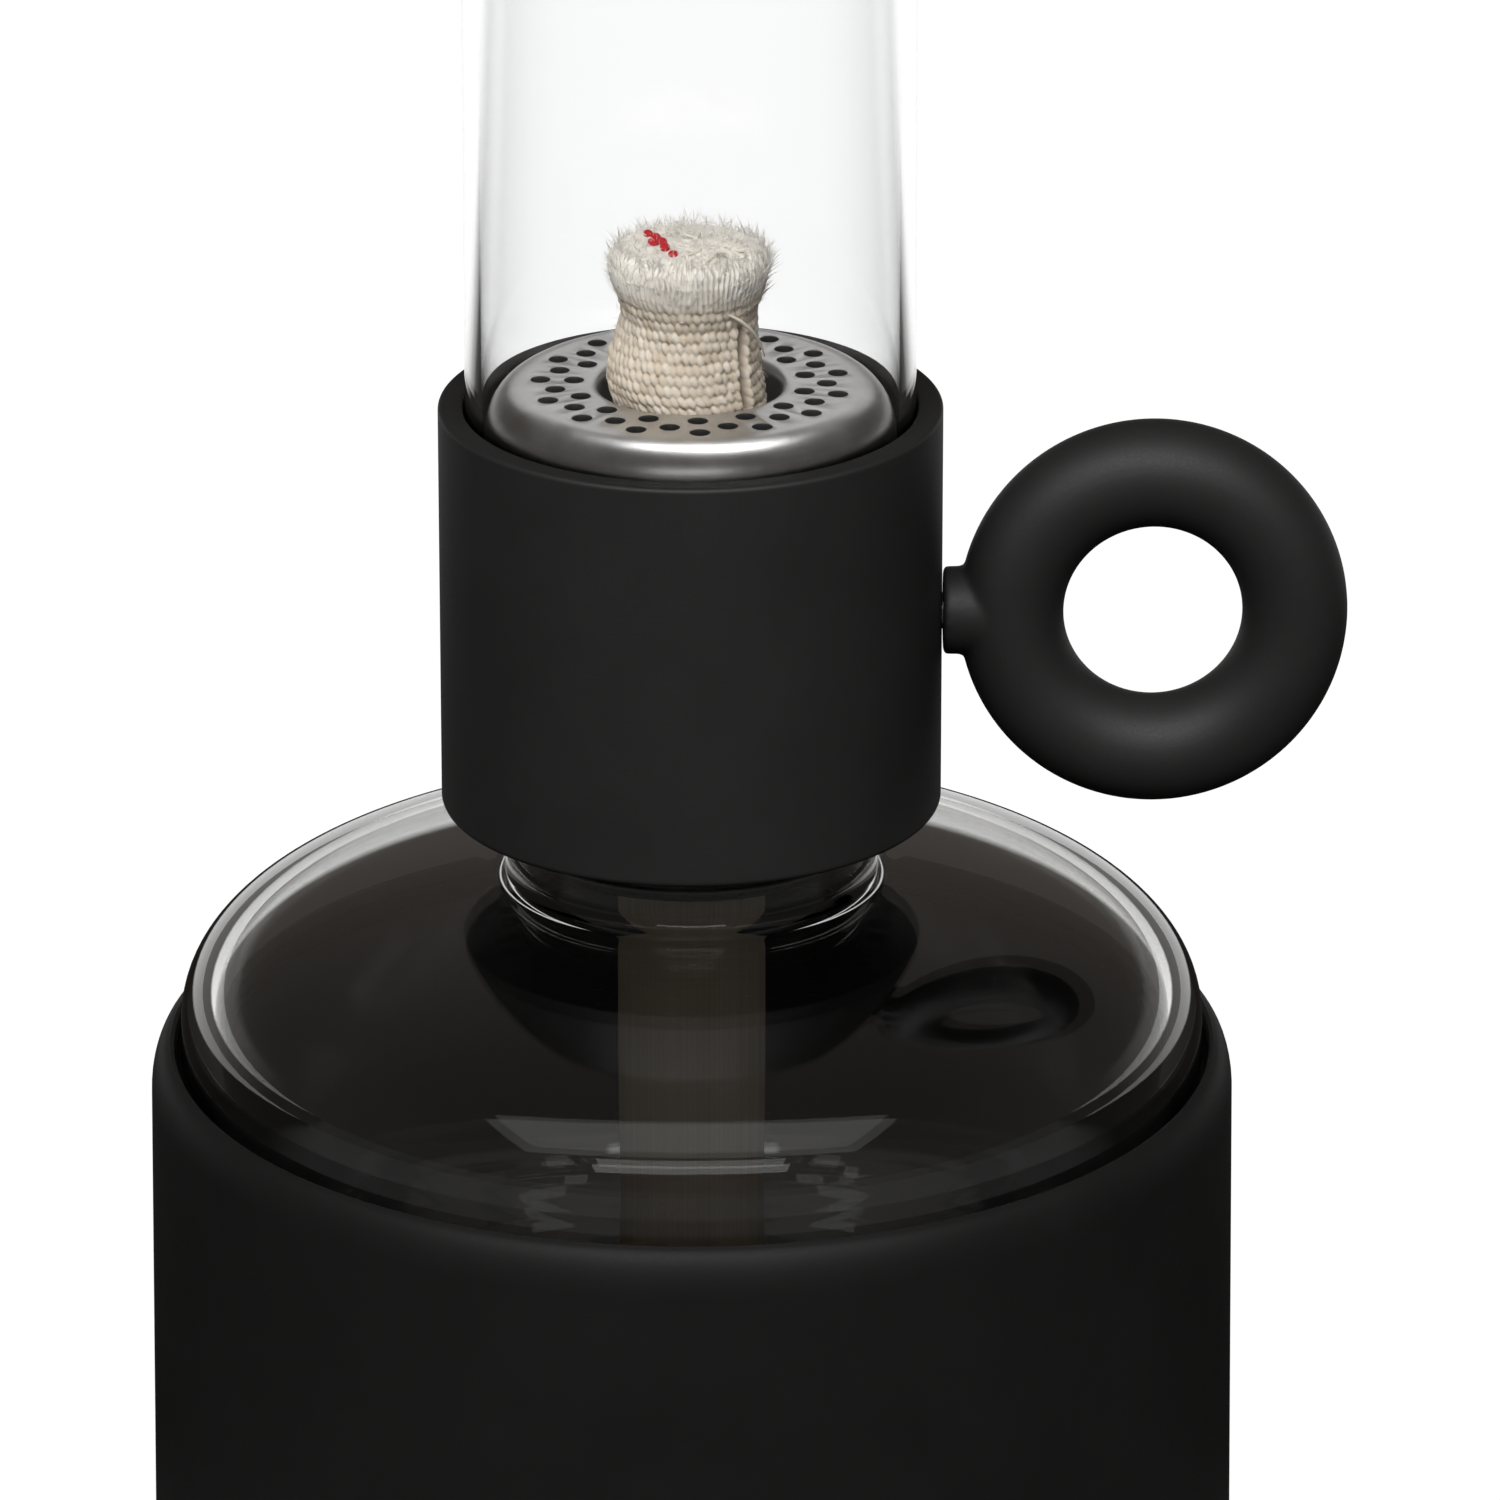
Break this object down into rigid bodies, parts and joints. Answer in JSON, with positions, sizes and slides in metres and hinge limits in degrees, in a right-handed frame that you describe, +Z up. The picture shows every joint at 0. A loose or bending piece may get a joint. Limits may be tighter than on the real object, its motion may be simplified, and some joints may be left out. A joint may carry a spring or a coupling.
{
  "type": "oil lamp",
  "caption": "Table oil lamp: glass chimney and perforated burner in a black collar with a ring handle, on a glass reservoir set in a black base cup.",
  "frame": {"origin": "middle of the foot pad's underside, on the surface the lamp stands on", "axes": "+Z up along the lamp's axis, +X towards the ring handle, -Y towards the viewer"},
  "size_m": [0.1619, 0.1482, 0.305],
  "materials": {
    "matte_black": "matte black powder coat",
    "black_rubber": "matte",
    "satin_steel": "satin",
    "clear_glass": "clear, polished",
    "cotton": "woven, frayed at the top"
  },
  "bodies": {
    "base": {"base_cup": "matte_black", "foot_pad": "black_rubber", "reservoir_pad": "black_rubber", "bowl_ring": "black_rubber"},
    "bowl": {"reservoir": "clear_glass"},
    "burner": {"neck_gasket": "black_rubber", "neck_plug": "matte_black", "tube_washer": "black_rubber", "wick_tube": "satin_steel", "collar": "matte_black", "handle_ring": "matte_black", "handle_screw": "satin_steel", "chimney_gallery": "satin_steel", "chimney_cushion": "black_rubber"},
    "chimney": {"chimney": "clear_glass"},
    "cap": {"burner_cap": "satin_steel"},
    "wick": {"wick": "cotton"}
  },
  "joints": [
    {"name": "reservoir_lift", "type": "slide", "parent": "base", "child": "bowl", "axis": [0, 0, 1], "range_m": [0, 0.075]},
    {"name": "burner_lift", "type": "slide", "parent": "bowl", "child": "burner", "axis": [0, 0, 1], "range_m": [0, 0.085]},
    {"name": "chimney_lift", "type": "slide", "parent": "burner", "child": "chimney", "axis": [0, 0, 1], "range_m": [0, 0.065]},
    {"name": "cap_lift", "type": "slide", "parent": "burner", "child": "cap", "axis": [0, 0, 1], "range_m": [0, 0.045]},
    {"name": "wick_raise", "type": "slide", "parent": "burner", "child": "wick", "axis": [0, 0, 1], "range_m": [-0.005, 0.012]}
  ]
}
